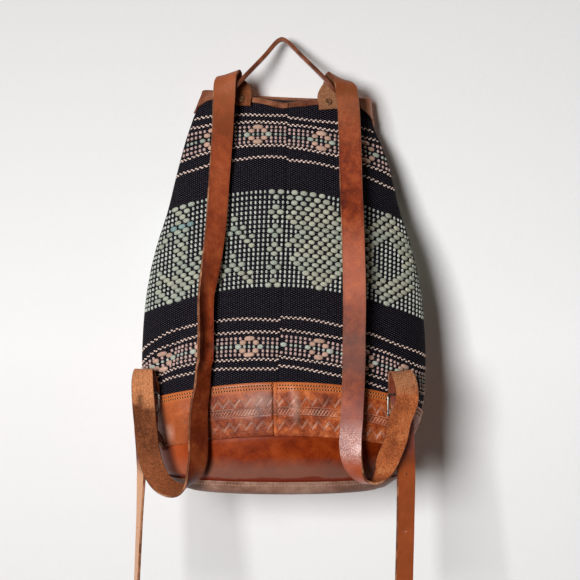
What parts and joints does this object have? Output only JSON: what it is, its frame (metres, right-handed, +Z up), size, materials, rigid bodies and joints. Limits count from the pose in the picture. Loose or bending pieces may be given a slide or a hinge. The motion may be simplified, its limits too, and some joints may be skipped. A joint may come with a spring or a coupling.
{
  "type": "backpack",
  "caption": "Bucket-shaped backpack of dark woven cloth with brocade bands above a tooled leather base, hung by a leather loop, its leather shoulder straps led through tongue buckles.",
  "frame": {"origin": "the point of the hang loop that bears on the peg", "axes": "+Z up as the bag hangs, the strap side towards -Y, +X to the right seen from the strap side"},
  "size_m": [0.3318, 0.1753, 0.638],
  "materials": {
    "cloth": "ribbed dark cloth with raised brocade and zigzag lines",
    "rim_leather": "worn tan rim leather",
    "tooled_leather": "tooled tan leather, slightly glossy",
    "base_leather": "smooth brown leather, glossy",
    "strap_leather": "smooth on the outside, rough on the inside",
    "buckle_metal": "worn wire",
    "rivet_metal": "darkened"
  },
  "bodies": {
    "bag": {"back_panel_left": "cloth", "back_panel_right": "cloth", "front_panel": "cloth", "rim_binding_left": "rim_leather", "rim_binding_right": "rim_leather", "rim_band_front": "rim_leather", "base_band_left": "tooled_leather", "base_band_right": "tooled_leather", "base_band_front": "tooled_leather", "base_wall": "base_leather", "base_sole": "base_leather", "hang_loop": "strap_leather", "shoulder_strap_left": "strap_leather", "shoulder_strap_right": "strap_leather", "buckle_tab_left": "strap_leather", "buckle_tab_right": "strap_leather", "strap_rivet_left": "rivet_metal", "strap_rivet_right": "rivet_metal", "loop_rivet_left": "rivet_metal", "loop_rivet_right": "rivet_metal", "tab_rivet_left": "rivet_metal", "tab_rivet_right": "rivet_metal", "fold_rivet_left": "rivet_metal", "fold_rivet_right": "rivet_metal"},
    "frame_left": {"buckle_frame_left": "buckle_metal"},
    "frame_right": {"buckle_frame_right": "buckle_metal"},
    "prong_left": {"buckle_prong_left": "buckle_metal"},
    "prong_right": {"buckle_prong_right": "buckle_metal"}
  },
  "joints": [
    {"name": "frame_swing_left", "type": "hinge", "parent": "bag", "child": "frame_left", "pos_m": [-0.149, -0.0245, -0.4206], "axis": [0.8192, -0.5736, 0], "range_deg": [0, 12]},
    {"name": "frame_swing_right", "type": "hinge", "parent": "bag", "child": "frame_right", "pos_m": [0.13007, -0.04198, -0.42151], "axis": [0.866, 0.5, 0], "range_deg": [0, 12]},
    {"name": "prong_swing_left", "type": "hinge", "parent": "frame_left", "child": "prong_left", "pos_m": [-0.149, -0.0245, -0.4206], "axis": [0.8192, -0.5736, 0], "range_deg": [0, 20]},
    {"name": "prong_swing_right", "type": "hinge", "parent": "frame_right", "child": "prong_right", "pos_m": [0.13007, -0.04198, -0.42151], "axis": [0.866, 0.5, 0], "range_deg": [0, 20]}
  ]
}
